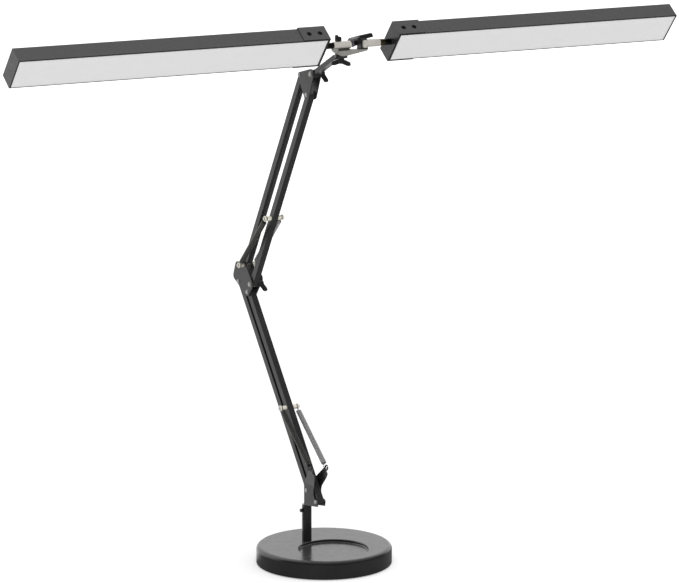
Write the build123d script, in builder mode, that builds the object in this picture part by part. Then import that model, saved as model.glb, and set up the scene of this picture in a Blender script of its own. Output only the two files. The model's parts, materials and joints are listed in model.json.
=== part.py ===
"""Two-headed piano lamp: a weighted round base, a sprung parallelogram arm and two rolling light bars.

Millimetres. The origin is the centre of the base's underside, +Z is up, +X runs along the light bars
and -Y points to the person at the piano. The arm swings in the plane X = arm_x.
"""
from build123d import *
import os
from math import atan2, cos, degrees, dist, radians, sin

os.makedirs("parts", exist_ok=True)

# ---- clearances and sheet ----
running_gap = 0.05        # radial, on every pin, bolt and spindle
side_gap = 0.5            # between a bar or link and the plate beside it
face_gap = 0.3            # between faces that pass each other
cut_over = 1.0            # how far a cutting shape runs past the metal
edge_break = 0.8          # small chamfers and rounds
head_taper = 30           # degrees, on the heads of pins and rivets
sheet = 1.5               # bracket steel

# ---- weighted base ----
base_radius = 100.0
base_height = 28.0        # top of the casting above the table
base_top_round = 6.0
base_foot_round = 2.0
pad_radius = 90.0         # rubber foot
pad_thickness = 3.0
pad_recess = 2.0          # how deep the pad sits in the casting
dish_radius = 51.0        # shallow round dish in the casting's top
dish_depth = 4.0
dish_y = -28.0
dish_rim_round = 1.6
post_radius = 7.2
post_y = 30.5
post_top = 82.0
post_seat_z = 12.0        # floor of the socket that holds the post
post_bolt_radius = 3.0
post_bolt_head_radius = 6.5
post_bolt_head = 4.0
post_bolt_reach = 10.0    # bolt inside the post
rod_radius = 4.0          # rod that turns inside the post
rod_foot_z = 40.0
collar_radius = 6.8       # bearing ring on the post's top
collar_height = 1.6
socket_screw_z = 75.0     # thumb screw that holds the rod
socket_screw_radius = 2.0
thumb_head_radius = 2.7
thumb_head_length = 3.2
thumb_flutes = 10
thumb_flute_radius = 0.5

# ---- arm ----
arm_x = -12.0             # the arm's plane
bar_width = 9.6           # square channel
bar_wall = 1.1            # folded sheet of a channel
lower_reach = 347.5       # pivot to pivot, both lower channels
upper_reach = 352.0       # pivot to pivot, both upper channels
lower_lean = 36.7         # from upright, away from the player
upper_lean = 29.4         # from upright, towards the player
lower_foot = (-8.5, 96.0)             # front pivot of the lower bracket, as (y, z)
lower_link = (28.0, 11.5)             # from a lower front pivot to the rear one
elbow_rise = (-8.8, 13.1)             # from the lower front channel's pivot to the upper one's
upper_link = (20.5, 26.5)             # from an upper front pivot to the rear one
tilt_rise = (-12.7, 31.3)             # from the upper front channel's pivot to the head hinge
pin_radius = 2.0
rivet_head_radius = 3.6
rivet_head = 1.4
clamp_head_radius = 4.2   # round head of the two clamp bolts
clamp_head = 2.0
plate_margin = 7.6        # plate metal round a pivot
narrow_margin = 4.4       # plate metal round the head's rear pivot
lower_pin_along = 154.0   # from a channel's foot pivot to its spring pin
upper_pin_along = 125.8

# ---- lower bracket, as (y, z) from its front pivot ----
bracket_toe = (-4.0, -6.4)
bracket_nose = (-5.3, 0.8)
bracket_waist = ((6.2, 7.3), (7.4, 15.5))
horn_brow = (-3.5, 41.0)              # foremost point of a horn
horn_heel = (24.0, 33.0)              # where a horn's sloping rear edge starts
horn_bend = (5.4, 22.0)               # front end of the bend that splays a horn outwards
horn_lean = ((-0.35, 1.0), (-0.1, 1.0))  # run of a horn's front edge at its foot and at its top
web_rise = 9.0            # height of the rear web's top
hook_radius = 4.6         # ring at a horn's tip
hook_hole = 2.4
hook_mouth = 2.6          # width of the slot that lets a spring in
hook_mouth_turn = 45.0    # degrees from straight down, towards the player
hook_edge = ((-4.6, -6.4), (0.0, -3.7), (4.6, 0.0))  # horn's edge under its ring, from the ring's middle

# ---- elbow plates ----
elbow_foot_margin = 6.5
elbow_rear_corner = (9.0, 8.0)        # from the lower rear channel's pivot
elbow_rear_margin = 6.8
elbow_top_margin = 5.5
elbow_shoulder = (20.0, -3.5)         # plate corner behind the upper rear pivot

# ---- springs ----
spring_offset = 12.6      # from the arm's plane to a spring's middle
spring_radius = 4.0
spring_wire = 0.6         # wire radius
spring_hook_gap = 8.0     # from a hook's middle to the first coil
stem_radius = 0.5         # straight wire between a coil and its hook
hook_loop_radius = 3.4
draw_stem = 24.0          # stem of a top hook inside the coil
horn_hook = (2.9, 48.8)               # where the lower springs hook on, from the front pivot
pin_end = 3.6             # spring pin beyond a spring's middle
pin_head_radius = 2.8     # peened end of a spring pin
pin_head = 0.8
bobbin_inner_radius = 3.4
bobbin_groove_radius = 2.75
bobbin_flange_radius = 4.2
bobbin_bevel = (0.6, 0.9)             # outer end of a bobbin, along the pin and in from the flange

# ---- head link and swivel ----
link_reach = (-75.87, 31.8)           # from the tilt hinge to the swivel, as (y, z)
link_width = 10.0
link_depth = 7.0
link_wall = 1.4
link_eye_thickness = 3.0
link_eye_radius = 9.0
link_boss_radius = 6.3    # round end at the tilt hinge
groove_end = 10.5         # solid metal left at each end of the link's groove
groove_round = 1.5
bolt_radius = 2.5
bolt_head_radius = 4.5
bolt_head = 2.5
knob_hub_radius = 4.6
knob_hub_length = 8.0
knob_hub_taper = 6        # degrees
knob_bore = 6.4           # depth of the threaded hole
knob_thread = 5.6         # bolt inside its knob
knob_wing = (             # one wing as (out, up) from the middle of the knob's seat
    (0.0, 0.8), (13.4, 5.8), (14.0, 11.0), (9.0, 10.7), (0.0, 7.6)
)
wing_thickness = 3.6
elbow_knob_turn = 42.0    # a knob's wings from upright towards +Y
tilt_knob_turn = 32.0
swivel_knob_turn = -50.0  # from +X towards +Y

# ---- hub between the bars ----
sleeve_rise = 18.0        # from the link's eye to the axis of both light bars
sleeve_radius = 5.5
boss_radius = 9.4         # hub round the swivel bolt
hub_tip = 1.8             # thickness of the tongue at the fold pin
neck_length = 6.5         # neck that carries the left sleeve
neck_width = 9.0
neck_drop = 4.1           # from the light bars' axis to the neck's top
left_sleeve_ends = (-25.5, 2.9)
fold_x = 25.0             # upright pin that the right bar folds about
right_sleeve_end = 50.6
fold_head_radius = 3.0
fold_head = 0.7
yoke_back_x = 17.2
yoke_sheet = 1.6
yoke_tab_radius = 5.8
yoke_tab_round = 4.6
yoke_top_reach = 3.8      # upper tab beyond the fold pin
clamp_x = 9.5             # pin of the clamp lever
clamp_rise = 2.6
lever_thickness = 4.0
lever_boss_radius = 5.6
lever_round = 1.0
lever_outline = (         # cranked lever as (x, z) from the clamp pin
    (-1.5, 5.4), (13.0, 7.9), (33.0, 10.6), (35.1, 5.0), (22.5, 3.0), (11.0, -2.5), (1.5, -5.4)
)
block_sides = ((-3.7, 7.6), (1.0, 10.4))  # clamp block's left and right side, from head_z
block_half_width = 5.2
block_round = 1.0
screw_wing = (            # wing screw on the left sleeve, as (x, z)
    (-4.5, 0), (-4.5, 7.5), (-3.5, 9), (-1.5, 9), (-0.5, 6.8), (3, 6.4), (4.6, 5), (4.6, 0)
)
screw_wing_thickness = 3.4
sleeve_screw_x = -17.0

# ---- light bars ----
left_bar_end = -43.9
right_bar_end = 68.4
light_length = 480.5
light_width = 51.9
light_depth = 25.6
light_tip = 38.7          # how far the light face looks down from level
housing_wall = 1.5
housing_round = 1.0
end_cap = 2.0
cap_lip = 1.5             # rim of an end cap that fits inside the housing
cap_lip_gap = 0.5
saddle_length = 42.5      # folded steel cover over a bar's inner end
saddle_wall = 1.4
inner_web = 2.0           # housing wall behind the saddle
saddle_screws = (12.2, 29.6)          # distances from the bar's inner end
screw_radius = 1.5
screw_reach = 3.0         # below the saddle
screw_head_radius = 3.4
socket_radius = 1.2       # hexagon in a saddle screw's head
socket_depth = 1.0
diffuser_thickness = 2.4
diffuser_recess = 0.5     # below the housing's rim
ledge_depth = 1.2         # ledge that the diffuser rests on
board_width = 29.3
board_thickness = 1.6
board_end_gap = 8.0       # from the board to the bar's outer end
led_pitch = 15.0
led_size = 2.8
led_height = 0.8
spindle_radius = 3.4
shoulder_radius = 4.4     # spindle between the light bar and its sleeve
ring_radius = 4.8
ring_length = 7.0
spindle_flange_radius = 8.0           # flange inside the housing
spindle_flange = 2.5
spindle_grip = 18.0       # spindle held inside its sleeve
spindle_end_gap = 1.0     # bore beyond the spindle's end
size_tolerance = 0.01     # when an edge is picked by its radius


def keep(piece, label):
    """Name a finished piece and write it to its own file."""
    piece.part.label = label
    export_step(piece.part, f"parts/{label}.step")


def step_from(point, angle, reach):
    """The (y, z) point at a distance from another, at an angle from upright towards +Y."""
    return (point[0] + reach * sin(radians(angle)), point[1] + reach * cos(radians(angle)))


def shifted(point, offset):
    """The (y, z) point moved by an (y, z) offset."""
    return (point[0] + offset[0], point[1] + offset[1])


def arm_plane(x_offset=0.0, point=(0.0, 0.0)):
    """Plane square to the pivots: local x is +Y, local y is +Z, and it faces +X."""
    return Plane(origin=(arm_x + x_offset, point[0], point[1]), x_dir=(0, 1, 0), z_dir=(1, 0, 0))


# ---- places worked out from the driving dimensions ----
plate_inside = bar_width / 2 + side_gap
plate_outside = plate_inside + sheet
lower_rear_foot = shifted(lower_foot, lower_link)
elbow_front = step_from(lower_foot, lower_lean, lower_reach)
elbow_rear = shifted(elbow_front, lower_link)
upper_foot = shifted(elbow_front, elbow_rise)
upper_rear_foot = shifted(upper_foot, upper_link)
head_front = step_from(upper_foot, -upper_lean, upper_reach)
head_rear = shifted(head_front, upper_link)
tilt_hinge = shifted(head_front, tilt_rise)
swivel_y, link_eye_z = shifted(tilt_hinge, link_reach)
head_z = link_eye_z + sleeve_rise
horn_ring = shifted(lower_foot, horn_hook)
lower_pin_point = step_from(lower_foot, lower_lean, lower_pin_along)
upper_pin_point = step_from(upper_foot, -upper_lean, upper_pin_along)
pad_top = pad_thickness
base_foot_z = pad_thickness - pad_recess


# ================= weighted base =================
with BuildPart() as base_casting:
    with BuildSketch(Plane.XY.offset(base_foot_z)):
        Circle(base_radius)
    extrude(amount=base_height - base_foot_z)
    rims = base_casting.edges().filter_by(GeomType.CIRCLE).sort_by(Axis.Z)
    fillet(rims[-1], base_top_round)
    fillet(base_casting.edges().filter_by(GeomType.CIRCLE).sort_by(Axis.Z)[0], base_foot_round)
    with BuildSketch(Plane.XY.offset(base_height)):
        with Locations((0, dish_y)):
            Circle(dish_radius)
    extrude(amount=-dish_depth, mode=Mode.SUBTRACT)
    dish_edges = base_casting.edges().filter_by(
        lambda edge: edge.geom_type == GeomType.CIRCLE and abs(edge.radius - dish_radius) < size_tolerance
    ).sort_by(Axis.Z)
    fillet(dish_edges[-1], dish_rim_round)
    fillet(dish_edges[0], dish_depth - dish_rim_round - face_gap)
    with BuildSketch(Plane.XY.offset(base_foot_z)):
        Circle(pad_radius + face_gap)
    extrude(amount=pad_recess, mode=Mode.SUBTRACT)
    with BuildSketch(Plane.XY.offset(base_height)):
        with Locations((arm_x, post_y)):
            Circle(post_radius + running_gap)
    extrude(amount=post_seat_z - base_height, mode=Mode.SUBTRACT)
    with BuildSketch(Plane.XY.offset(base_foot_z)):
        with Locations((arm_x, post_y)):
            Circle(post_bolt_radius + running_gap)
    extrude(amount=base_height, mode=Mode.SUBTRACT)
    with BuildSketch(Plane.XY.offset(pad_top)):
        with Locations((arm_x, post_y)):
            Circle(post_bolt_head_radius + face_gap)
    extrude(amount=post_bolt_head, mode=Mode.SUBTRACT)
keep(base_casting, "base_casting")

with BuildPart() as base_pad:
    with BuildSketch():
        Circle(pad_radius)
    extrude(amount=pad_thickness)
    fillet(base_pad.edges().filter_by(GeomType.CIRCLE).sort_by(Axis.Z)[0], edge_break)
keep(base_pad, "base_pad")

with BuildPart() as base_post:
    with BuildSketch(Plane.XY.offset(post_seat_z)):
        with Locations((arm_x, post_y)):
            Circle(post_radius)
    extrude(amount=post_top - post_seat_z)
    chamfer(base_post.edges().filter_by(GeomType.CIRCLE).sort_by(Axis.Z)[-1], edge_break)
    with BuildSketch(Plane.XY.offset(post_top)):
        with Locations((arm_x, post_y)):
            Circle(rod_radius + running_gap)
    extrude(amount=rod_foot_z - post_top, mode=Mode.SUBTRACT)
    with BuildSketch(Plane.XY.offset(post_seat_z)):
        with Locations((arm_x, post_y)):
            Circle(post_bolt_radius + running_gap)
    extrude(amount=post_bolt_reach + face_gap, mode=Mode.SUBTRACT)
    with BuildSketch(Plane(origin=(arm_x, post_y, socket_screw_z), z_dir=(-1, 0, 0))):
        Circle(socket_screw_radius + running_gap)
    extrude(amount=2 * post_radius, mode=Mode.SUBTRACT)
keep(base_post, "base_post")

with BuildPart() as post_bolt:
    with BuildSketch(Plane.XY.offset(pad_top)):
        with Locations((arm_x, post_y)):
            RegularPolygon(post_bolt_head_radius, 6)
    extrude(amount=post_bolt_head - face_gap)
    with BuildSketch(Plane.XY.offset(pad_top)):
        with Locations((arm_x, post_y)):
            Circle(post_bolt_radius)
    extrude(amount=post_seat_z + post_bolt_reach - pad_top)
keep(post_bolt, "post_bolt")

with BuildPart() as socket_screw:
    thumb_seat = Plane(origin=(arm_x - post_radius - face_gap, post_y, socket_screw_z), z_dir=(-1, 0, 0))
    with BuildSketch(thumb_seat):
        Circle(thumb_head_radius)
        with PolarLocations(thumb_head_radius, thumb_flutes):
            Circle(thumb_flute_radius, mode=Mode.SUBTRACT)
    extrude(amount=thumb_head_length)
    with BuildSketch(thumb_seat):
        Circle(socket_screw_radius)
    extrude(amount=rod_radius - post_radius)
keep(socket_screw, "socket_screw")


# ================= pins, rivets and knobs =================
def cross_pin(points, half_length, head_radius=rivet_head_radius, head=rivet_head):
    """Headed pins square to the arm's plane, one solid for each (y, z) point."""
    with BuildPart() as pins:
        for point in points:
            with BuildSketch(arm_plane(-half_length, point)):
                Circle(pin_radius)
            extrude(amount=2 * half_length)
            for side in (-1, 1):
                with BuildSketch(arm_plane(side * half_length, point)):
                    Circle(head_radius)
                extrude(amount=side * head, taper=head_taper)
    return pins


def wing_knob(seat, bore_radius):
    """Two-winged clamp knob; its bolt runs along the seat plane's z and the wings along its x."""
    wing_plane = Plane(origin=seat.origin, x_dir=seat.x_dir, z_dir=seat.x_dir.cross(seat.z_dir))
    with BuildPart() as knob:
        with BuildSketch(seat):
            Circle(knob_hub_radius)
        extrude(amount=knob_hub_length, taper=knob_hub_taper)
        for side in (-1, 1):
            with BuildSketch(wing_plane):
                Polygon(*[(side * out, up) for out, up in knob_wing], align=None)
            extrude(amount=wing_thickness / 2, both=True)
        wing_edges = knob.edges().filter_by(Axis(seat.origin, wing_plane.z_dir))
        tips = wing_edges.sort_by(Axis(seat.origin, seat.x_dir))
        fillet(tips[:2] + tips[-2:], wing_thickness / 3)
        with BuildSketch(seat):
            Circle(bore_radius + running_gap)
        extrude(amount=knob_bore, mode=Mode.SUBTRACT)
    return knob


# ================= lower bracket =================
bracket_rear = post_y - rod_radius
bracket_foot_z = post_top + collar_height + face_gap
web_top_z = lower_foot[1] + web_rise
horn_root_z = lower_foot[1] + horn_bend[1]
plate_middle = plate_inside + sheet / 2
horn_slope = degrees(atan2(spring_offset - plate_middle, horn_ring[1] - horn_root_z))
horn_height = dist((spring_offset, horn_ring[1]), (plate_middle, horn_root_z))


def up_horn(point):
    """A (y, z) point from the front pivot, as seen in the splayed plane of a horn."""
    y, z = shifted(lower_foot, point)
    return (y, (z - horn_root_z) / cos(radians(horn_slope)))


with BuildPart() as swivel_collar:
    with BuildSketch(Plane.XY.offset(post_top)):
        with Locations((arm_x, post_y)):
            Circle(collar_radius)
            Circle(rod_radius + running_gap, mode=Mode.SUBTRACT)
    extrude(amount=collar_height)
keep(swivel_collar, "swivel_collar")

with BuildPart() as swivel_rod:
    with BuildSketch(Plane.XY.offset(rod_foot_z)):
        with Locations((arm_x, post_y)):
            Circle(rod_radius)
    extrude(amount=web_top_z - rod_foot_z)
    chamfer(swivel_rod.edges().filter_by(GeomType.CIRCLE).sort_by(Axis.Z)[0], edge_break)
keep(swivel_rod, "swivel_rod")

ring_up = (horn_ring[0], horn_height)

with BuildPart() as lower_bracket:
    for side in (-1, 1):
        with BuildSketch(arm_plane(side * plate_inside)):
            with BuildLine():
                foot_edge = Polyline(
                    shifted(lower_foot, horn_bend),
                    (bracket_rear, horn_root_z),
                    (bracket_rear, bracket_foot_z),
                    shifted(lower_foot, bracket_toe),
                    shifted(lower_foot, bracket_nose),
                )
                Spline(foot_edge @ 1, *[shifted(lower_foot, point) for point in bracket_waist], foot_edge @ 0)
            make_face()
            with Locations(lower_foot, lower_rear_foot):
                Circle(pin_radius + running_gap, mode=Mode.SUBTRACT)
        extrude(amount=side * sheet)
        horn_up = Vector(side * sin(radians(horn_slope)), 0, cos(radians(horn_slope)))
        horn_plane = Plane(
            origin=(arm_x + side * plate_middle, 0, horn_root_z),
            x_dir=(0, 1, 0),
            z_dir=Vector(0, 1, 0).cross(horn_up),
        )
        with BuildSketch(horn_plane):
            with BuildLine():
                rear_edge = Polyline(
                    up_horn(horn_brow),
                    *[shifted(ring_up, point) for point in hook_edge],
                    up_horn(horn_heel),
                    (bracket_rear, 0),
                    (bracket_rear, -sheet),
                    (up_horn(horn_bend)[0], -sheet),
                    up_horn(horn_bend),
                )
                Spline(rear_edge @ 1, rear_edge @ 0, tangents=horn_lean)
            make_face()
            with Locations(ring_up):
                Circle(hook_radius)
                Circle(hook_hole, mode=Mode.SUBTRACT)
            with Locations(Location((*ring_up, 0), (0, 0, hook_mouth_turn))):
                with Locations((0, hook_radius / 2)):
                    Rectangle(hook_mouth, hook_radius, mode=Mode.SUBTRACT)
        extrude(amount=sheet / 2, both=True)
    with BuildSketch(Plane.XY.offset(bracket_foot_z)):
        with Locations((arm_x, bracket_rear - sheet / 2)):
            Rectangle(2 * plate_outside, sheet)
    extrude(amount=web_top_z - bracket_foot_z)
keep(lower_bracket, "lower_bracket")

lower_rivets = cross_pin([lower_foot, lower_rear_foot], plate_outside)
keep(lower_rivets, "lower_rivets")


# ================= the four channels of the arm =================
def arm_channel(foot, tip, open_side, pin_along=None):
    """Folded square channel between two pivots; open_side is +1 when it opens towards the player."""
    reach = dist(foot, tip)
    along = Vector(0, tip[0] - foot[0], tip[1] - foot[1]).normalized()
    seat = Plane(origin=(arm_x, foot[0], foot[1]), x_dir=along, z_dir=(1, 0, 0))
    holes = [0, reach] + ([pin_along] if pin_along else [])
    with BuildPart() as channel:
        with BuildSketch(seat):
            with Locations((reach / 2, 0)):
                SlotCenterToCenter(reach, bar_width)
        extrude(amount=bar_width / 2, both=True)
        with BuildSketch(seat):
            with Locations((reach / 2, open_side * bar_wall)):
                Rectangle(reach + 2 * bar_width, bar_width)
        extrude(amount=bar_width / 2 - bar_wall, both=True, mode=Mode.SUBTRACT)
        with BuildSketch(seat):
            with Locations([(hole, 0) for hole in holes]):
                Circle(pin_radius + running_gap)
        extrude(amount=bar_width, both=True, mode=Mode.SUBTRACT)
    return channel


lower_front_bar = arm_channel(lower_foot, elbow_front, -1, lower_pin_along)
keep(lower_front_bar, "lower_front_bar")
lower_rear_bar = arm_channel(lower_rear_foot, elbow_rear, 1)
keep(lower_rear_bar, "lower_rear_bar")
upper_front_bar = arm_channel(upper_foot, head_front, -1, upper_pin_along)
keep(upper_front_bar, "upper_front_bar")
upper_rear_bar = arm_channel(upper_rear_foot, head_rear, 1)
keep(upper_rear_bar, "upper_rear_bar")


# ================= spring pins, bobbins and springs =================
def spring_bobbins(point, inner):
    """A grooved bobbin on each end of a spring pin, from the inner offset outwards."""
    outer = spring_offset + pin_end - face_gap
    groove = (spring_offset - 2 * spring_wire, spring_offset + 2 * spring_wire)
    with BuildPart() as bobbins:
        for side in (-1, 1):
            profile = Plane(origin=(arm_x, point[0], point[1]), x_dir=(side, 0, 0), z_dir=(0, 0, 1))
            with BuildSketch(profile):
                Polygon(
                    (inner, pin_radius + running_gap),
                    (inner, bobbin_inner_radius),
                    (groove[0], bobbin_inner_radius),
                    (groove[0], bobbin_groove_radius),
                    (groove[1], bobbin_groove_radius),
                    (groove[1], bobbin_flange_radius),
                    (outer - bobbin_bevel[0], bobbin_flange_radius),
                    (outer, bobbin_flange_radius - bobbin_bevel[1]),
                    (outer, pin_radius + running_gap),
                    align=None,
                )
            revolve(axis=Axis((arm_x, point[0], point[1]), (1, 0, 0)))
    return bobbins


def loop_section(seat):
    """Plane that cuts a wire loop round the seat's z, where the loop meets its stem on the seat's x."""
    return Plane(origin=seat.origin, x_dir=seat.x_dir, z_dir=seat.y_dir)


def spring_run(foot, top):
    """Length of a spring from foot hook to top hook, and its direction."""
    run = Vector(0, top[0] - foot[0], top[1] - foot[1])
    return run.length, run.normalized()


def spring_barrels(foot, top, foot_on_pin):
    """The left and right coils as close-wound barrels, with the stems and loops of their foot ends."""
    length, up = spring_run(foot, top)
    barrel = length - 2 * spring_hook_gap
    with BuildPart() as barrels:
        for side in (-1, 1):
            foot_seat = Plane(
                origin=(arm_x + side * spring_offset, foot[0], foot[1]), x_dir=(1, 0, 0), z_dir=up
            )
            with BuildSketch(foot_seat.offset(spring_hook_gap)):
                Circle(spring_radius)
            extrude(amount=barrel)
            with BuildSketch(foot_seat.offset(spring_hook_gap + 2 * spring_wire)):
                Circle(spring_radius - 2 * spring_wire)
            extrude(amount=barrel, mode=Mode.SUBTRACT)
            if foot_on_pin:
                stem_foot = hook_loop_radius
                loop_seat = Plane(origin=foot_seat.origin, x_dir=up, z_dir=(1, 0, 0))
            else:
                stem_foot = 2 * hook_loop_radius
                loop_seat = Plane(
                    origin=foot_seat.offset(hook_loop_radius).origin, x_dir=up, z_dir=foot_seat.y_dir
                )
            with BuildSketch(loop_section(loop_seat)):
                with Locations((hook_loop_radius, 0)):
                    Circle(spring_wire)
            revolve(axis=Axis(loop_seat.origin, loop_seat.z_dir))
            with BuildSketch(foot_seat.offset(stem_foot)):
                Circle(stem_radius)
            extrude(amount=spring_hook_gap + spring_wire - stem_foot)
    return barrels


def draw_hooks(foot, top):
    """Hooks at the springs' top ends; their stems run inside the barrels and slide out."""
    length, up = spring_run(foot, top)
    with BuildPart() as hooks:
        for side in (-1, 1):
            top_seat = Plane(
                origin=(arm_x + side * spring_offset, top[0], top[1]), x_dir=(1, 0, 0), z_dir=-up
            )
            with BuildSketch(loop_section(Plane(origin=top_seat.origin, x_dir=-up, z_dir=(1, 0, 0)))):
                with Locations((hook_loop_radius, 0)):
                    Circle(spring_wire)
            revolve(axis=Axis(top_seat.origin, (1, 0, 0)))
            with BuildSketch(top_seat.offset(hook_loop_radius)):
                Circle(stem_radius)
            extrude(amount=spring_hook_gap + draw_stem - hook_loop_radius)
            with BuildSketch(top_seat.offset(spring_hook_gap + draw_stem)):
                Circle(spring_radius - 2 * spring_wire - face_gap)
            extrude(amount=-2 * spring_wire)
    return hooks


spring_pin_half = spring_offset + pin_end
lower_spring_pin = cross_pin([lower_pin_point], spring_pin_half, pin_head_radius, pin_head)
keep(lower_spring_pin, "lower_spring_pin")
upper_spring_pin = cross_pin([upper_pin_point], spring_pin_half, pin_head_radius, pin_head)
keep(upper_spring_pin, "upper_spring_pin")
elbow_spring_pin = cross_pin([upper_rear_foot], spring_pin_half, pin_head_radius, pin_head)
keep(elbow_spring_pin, "elbow_spring_pin")

lower_bobbins = spring_bobbins(lower_pin_point, bar_width / 2 + running_gap)
keep(lower_bobbins, "lower_bobbins")
upper_bobbins = spring_bobbins(upper_pin_point, bar_width / 2 + running_gap)
keep(upper_bobbins, "upper_bobbins")
elbow_bobbins = spring_bobbins(upper_rear_foot, plate_outside + running_gap)
keep(elbow_bobbins, "elbow_bobbins")

lower_springs = spring_barrels(horn_ring, lower_pin_point, foot_on_pin=False)
keep(lower_springs, "lower_springs")
lower_draw_hooks = draw_hooks(horn_ring, lower_pin_point)
keep(lower_draw_hooks, "lower_draw_hooks")
upper_springs = spring_barrels(upper_rear_foot, upper_pin_point, foot_on_pin=True)
keep(upper_springs, "upper_springs")
upper_draw_hooks = draw_hooks(upper_rear_foot, upper_pin_point)
keep(upper_draw_hooks, "upper_draw_hooks")


# ================= elbow and head bracket =================
def hull_plate(corners, holes, side):
    """Bracket plate whose outline wraps round discs given as ((y, z), radius)."""
    with BuildPart() as plate:
        with BuildSketch(arm_plane(side * plate_inside)):
            for point, radius in corners:
                with Locations(point):
                    Circle(radius)
            make_hull()
            with Locations(holes):
                Circle(pin_radius + running_gap, mode=Mode.SUBTRACT)
        extrude(amount=side * sheet)
    return plate


elbow_corners = [
    (upper_foot, plate_margin),
    (elbow_front, elbow_foot_margin),
    (shifted(elbow_rear, elbow_rear_corner), elbow_rear_margin),
    (upper_rear_foot, elbow_top_margin),
    (shifted(upper_rear_foot, elbow_shoulder), elbow_top_margin),
]
elbow_holes = [upper_foot, elbow_front, elbow_rear, upper_rear_foot]
head_corners = [(head_front, plate_margin), (head_rear, narrow_margin), (tilt_hinge, plate_margin)]
for side, hand in ((-1, "left"), (1, "right")):
    elbow_plate = hull_plate(elbow_corners, elbow_holes, side)
    keep(elbow_plate, f"elbow_plate_{hand}")
    head_plate = hull_plate(head_corners, [head_front, head_rear, tilt_hinge], side)
    keep(head_plate, f"head_plate_{hand}")

elbow_rivets = cross_pin([elbow_front, elbow_rear], plate_outside)
keep(elbow_rivets, "elbow_rivets")
head_rivets = cross_pin([head_front, head_rear], plate_outside)
keep(head_rivets, "head_rivets")


def clamp_bolt(point):
    """Round-headed bolt through both plates, long enough for its wing knob on the +X side."""
    with BuildPart() as bolt:
        with BuildSketch(arm_plane(-plate_outside, point)):
            Circle(clamp_head_radius)
        extrude(amount=-clamp_head, taper=head_taper)
        with BuildSketch(arm_plane(-plate_outside, point)):
            Circle(pin_radius)
        extrude(amount=2 * plate_outside + knob_thread)
    return bolt


elbow_bolt = clamp_bolt(upper_foot)
keep(elbow_bolt, "elbow_bolt")
tilt_bolt = clamp_bolt(tilt_hinge)
keep(tilt_bolt, "tilt_bolt")


def knob_seat(point, turn):
    """Seat of a side knob on the +X plate; turn is the wings' angle from upright towards +Y."""
    return Plane(
        origin=(arm_x + plate_outside + face_gap, point[0], point[1]),
        x_dir=(0, sin(radians(turn)), cos(radians(turn))),
        z_dir=(1, 0, 0),
    )


elbow_knob = wing_knob(knob_seat(upper_foot, elbow_knob_turn), pin_radius)
keep(elbow_knob, "elbow_knob")
tilt_knob = wing_knob(knob_seat(tilt_hinge, tilt_knob_turn), pin_radius)
keep(tilt_knob, "tilt_knob")


# ================= head link and swivel =================
link_bend = (swivel_y + link_eye_radius + link_depth / 2, link_eye_z + link_eye_thickness - link_depth / 2)
link_run = Vector(0, link_bend[0] - tilt_hinge[0], link_bend[1] - tilt_hinge[1])
link_up = Vector(1, 0, 0).cross(link_run.normalized()) * -1

with BuildPart() as head_link:
    with BuildSketch(arm_plane()):
        with BuildLine():
            Line(tilt_hinge, link_bend)
        SlotCenterPoint(
            ((tilt_hinge[0] + link_bend[0]) / 2, (tilt_hinge[1] + link_bend[1]) / 2), link_bend, link_depth
        )
        with Locations(tilt_hinge):
            Circle(link_boss_radius)
    extrude(amount=link_width / 2, both=True)
    groove_plane = Plane(
        origin=(arm_x, (tilt_hinge[0] + link_bend[0]) / 2, (tilt_hinge[1] + link_bend[1]) / 2),
        x_dir=link_run.normalized(),
        z_dir=link_up,
    )
    with BuildSketch(groove_plane.offset(link_depth / 2)):
        RectangleRounded(link_run.length - 2 * groove_end, link_width - 2 * link_wall, groove_round)
    extrude(amount=link_wall - link_depth, mode=Mode.SUBTRACT)
    with BuildSketch(Plane.XY.offset(link_eye_z)):
        with Locations((arm_x, swivel_y)):
            Circle(link_eye_radius)
        with Locations((arm_x, (swivel_y + link_bend[0]) / 2)):
            Rectangle(link_width, link_bend[0] - swivel_y)
        with Locations((arm_x, swivel_y)):
            Circle(bolt_radius + running_gap, mode=Mode.SUBTRACT)
    extrude(amount=link_eye_thickness)
    with BuildSketch(arm_plane(0, tilt_hinge)):
        Circle(pin_radius + running_gap)
    extrude(amount=link_width, both=True, mode=Mode.SUBTRACT)
keep(head_link, "head_link")

tab_z = head_z - sleeve_radius - face_gap
hub_top_z = tab_z - yoke_sheet - running_gap
hub_foot_z = link_eye_z + link_eye_thickness + face_gap
bolt_head_z = hub_top_z - face_gap
with BuildPart() as swivel_bolt:
    with BuildSketch(Plane.XY.offset(bolt_head_z)):
        with Locations((arm_x, swivel_y)):
            RegularPolygon(bolt_head_radius, 6)
    extrude(amount=-bolt_head)
    with BuildSketch(Plane.XY.offset(bolt_head_z)):
        with Locations((arm_x, swivel_y)):
            Circle(bolt_radius)
    extrude(amount=link_eye_z - knob_thread - bolt_head_z)
keep(swivel_bolt, "swivel_bolt")

swivel_seat = Plane(
    origin=(arm_x, swivel_y, link_eye_z - face_gap),
    x_dir=(cos(radians(swivel_knob_turn)), sin(radians(swivel_knob_turn)), 0),
    z_dir=(0, 0, -1),
)
swivel_knob = wing_knob(swivel_seat, bolt_radius)
keep(swivel_knob, "swivel_knob")


# ================= hub between the light bars =================
head_side = Plane(origin=(0, swivel_y, 0), x_dir=(1, 0, 0), z_dir=(0, -1, 0))
hub_tip_x = fold_x + yoke_tab_radius
hub_heel_z = hub_foot_z + (hub_top_z - hub_foot_z) / 2
neck_top_z = head_z - neck_drop
neck_end_x = left_sleeve_ends[0] + neck_length

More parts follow.
